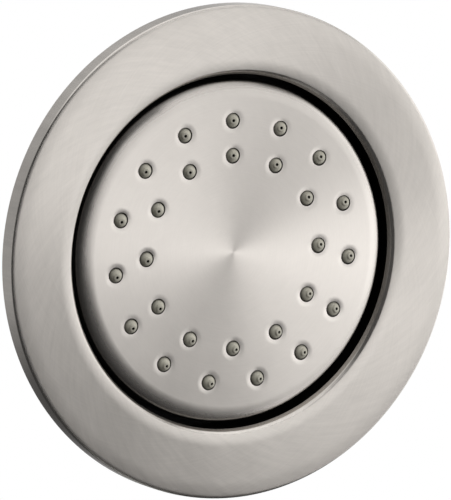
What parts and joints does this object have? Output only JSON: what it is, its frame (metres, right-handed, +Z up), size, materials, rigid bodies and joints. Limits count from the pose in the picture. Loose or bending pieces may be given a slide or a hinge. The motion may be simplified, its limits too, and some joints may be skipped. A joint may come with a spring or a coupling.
{
  "type": "shower body jet",
  "caption": "Round flush wall shower jet: brushed trim ring around a spray face with leaning rubber nozzles on a ball swivel, with an in-wall can and a threaded inlet behind.",
  "frame": {"origin": "centre of the trim ring on the finished wall's plane", "axes": "+Y into the wall, so the spray face looks towards -Y; +Z up"},
  "size_m": [0.124, 0.0569, 0.124],
  "materials": {
    "brushed_nickel": "circular brushed satin nickel",
    "nozzle_rubber": "matte silicone",
    "black_plastic": "moulded, fine matte",
    "grey_plastic": "moulded, matte",
    "seal_rubber": "moulded, satin",
    "gasket_foam": "closed-cell foam",
    "brass": "turned",
    "white_acetal": "moulded, smooth",
    "screen_steel": "woven wire"
  },
  "bodies": {
    "wall_unit": {"trim_ring": "brushed_nickel", "trim_o_ring": "seal_rubber", "wall_gasket": "gasket_foam", "housing_can": "black_plastic", "swivel_ball": "brass", "stem_locknut": "brass", "stem_seal": "seal_rubber", "flow_regulator": "white_acetal", "regulator_o_ring": "seal_rubber", "inlet_washer": "seal_rubber", "inlet_screen": "screen_steel"},
    "rear_seat": {"rear_seat_ring": "white_acetal"},
    "front_seat": {"front_seat_ring": "white_acetal"},
    "spray_head": {"ball_seal": "seal_rubber", "swivel_collar": "black_plastic", "head_shell": "black_plastic", "chamber_seal": "seal_rubber", "backing_plate": "grey_plastic", "nozzle_mat": "nozzle_rubber", "spray_face": "brushed_nickel"}
  },
  "joints": [
    {"name": "tilt_up_down", "type": "hinge", "parent": "wall_unit", "child": "rear_seat", "pos_m": [0, 0.0142, 0], "axis": [1, 0, 0], "range_deg": [-8, 8]},
    {"name": "tilt_side", "type": "hinge", "parent": "rear_seat", "child": "front_seat", "pos_m": [0, 0.0142, 0], "axis": [0, 0, 1], "range_deg": [-8, 8]},
    {"name": "face_spin", "type": "hinge", "parent": "front_seat", "child": "spray_head", "pos_m": [0, 0.0142, 0], "axis": [0, 1, 0], "continuous": true}
  ]
}
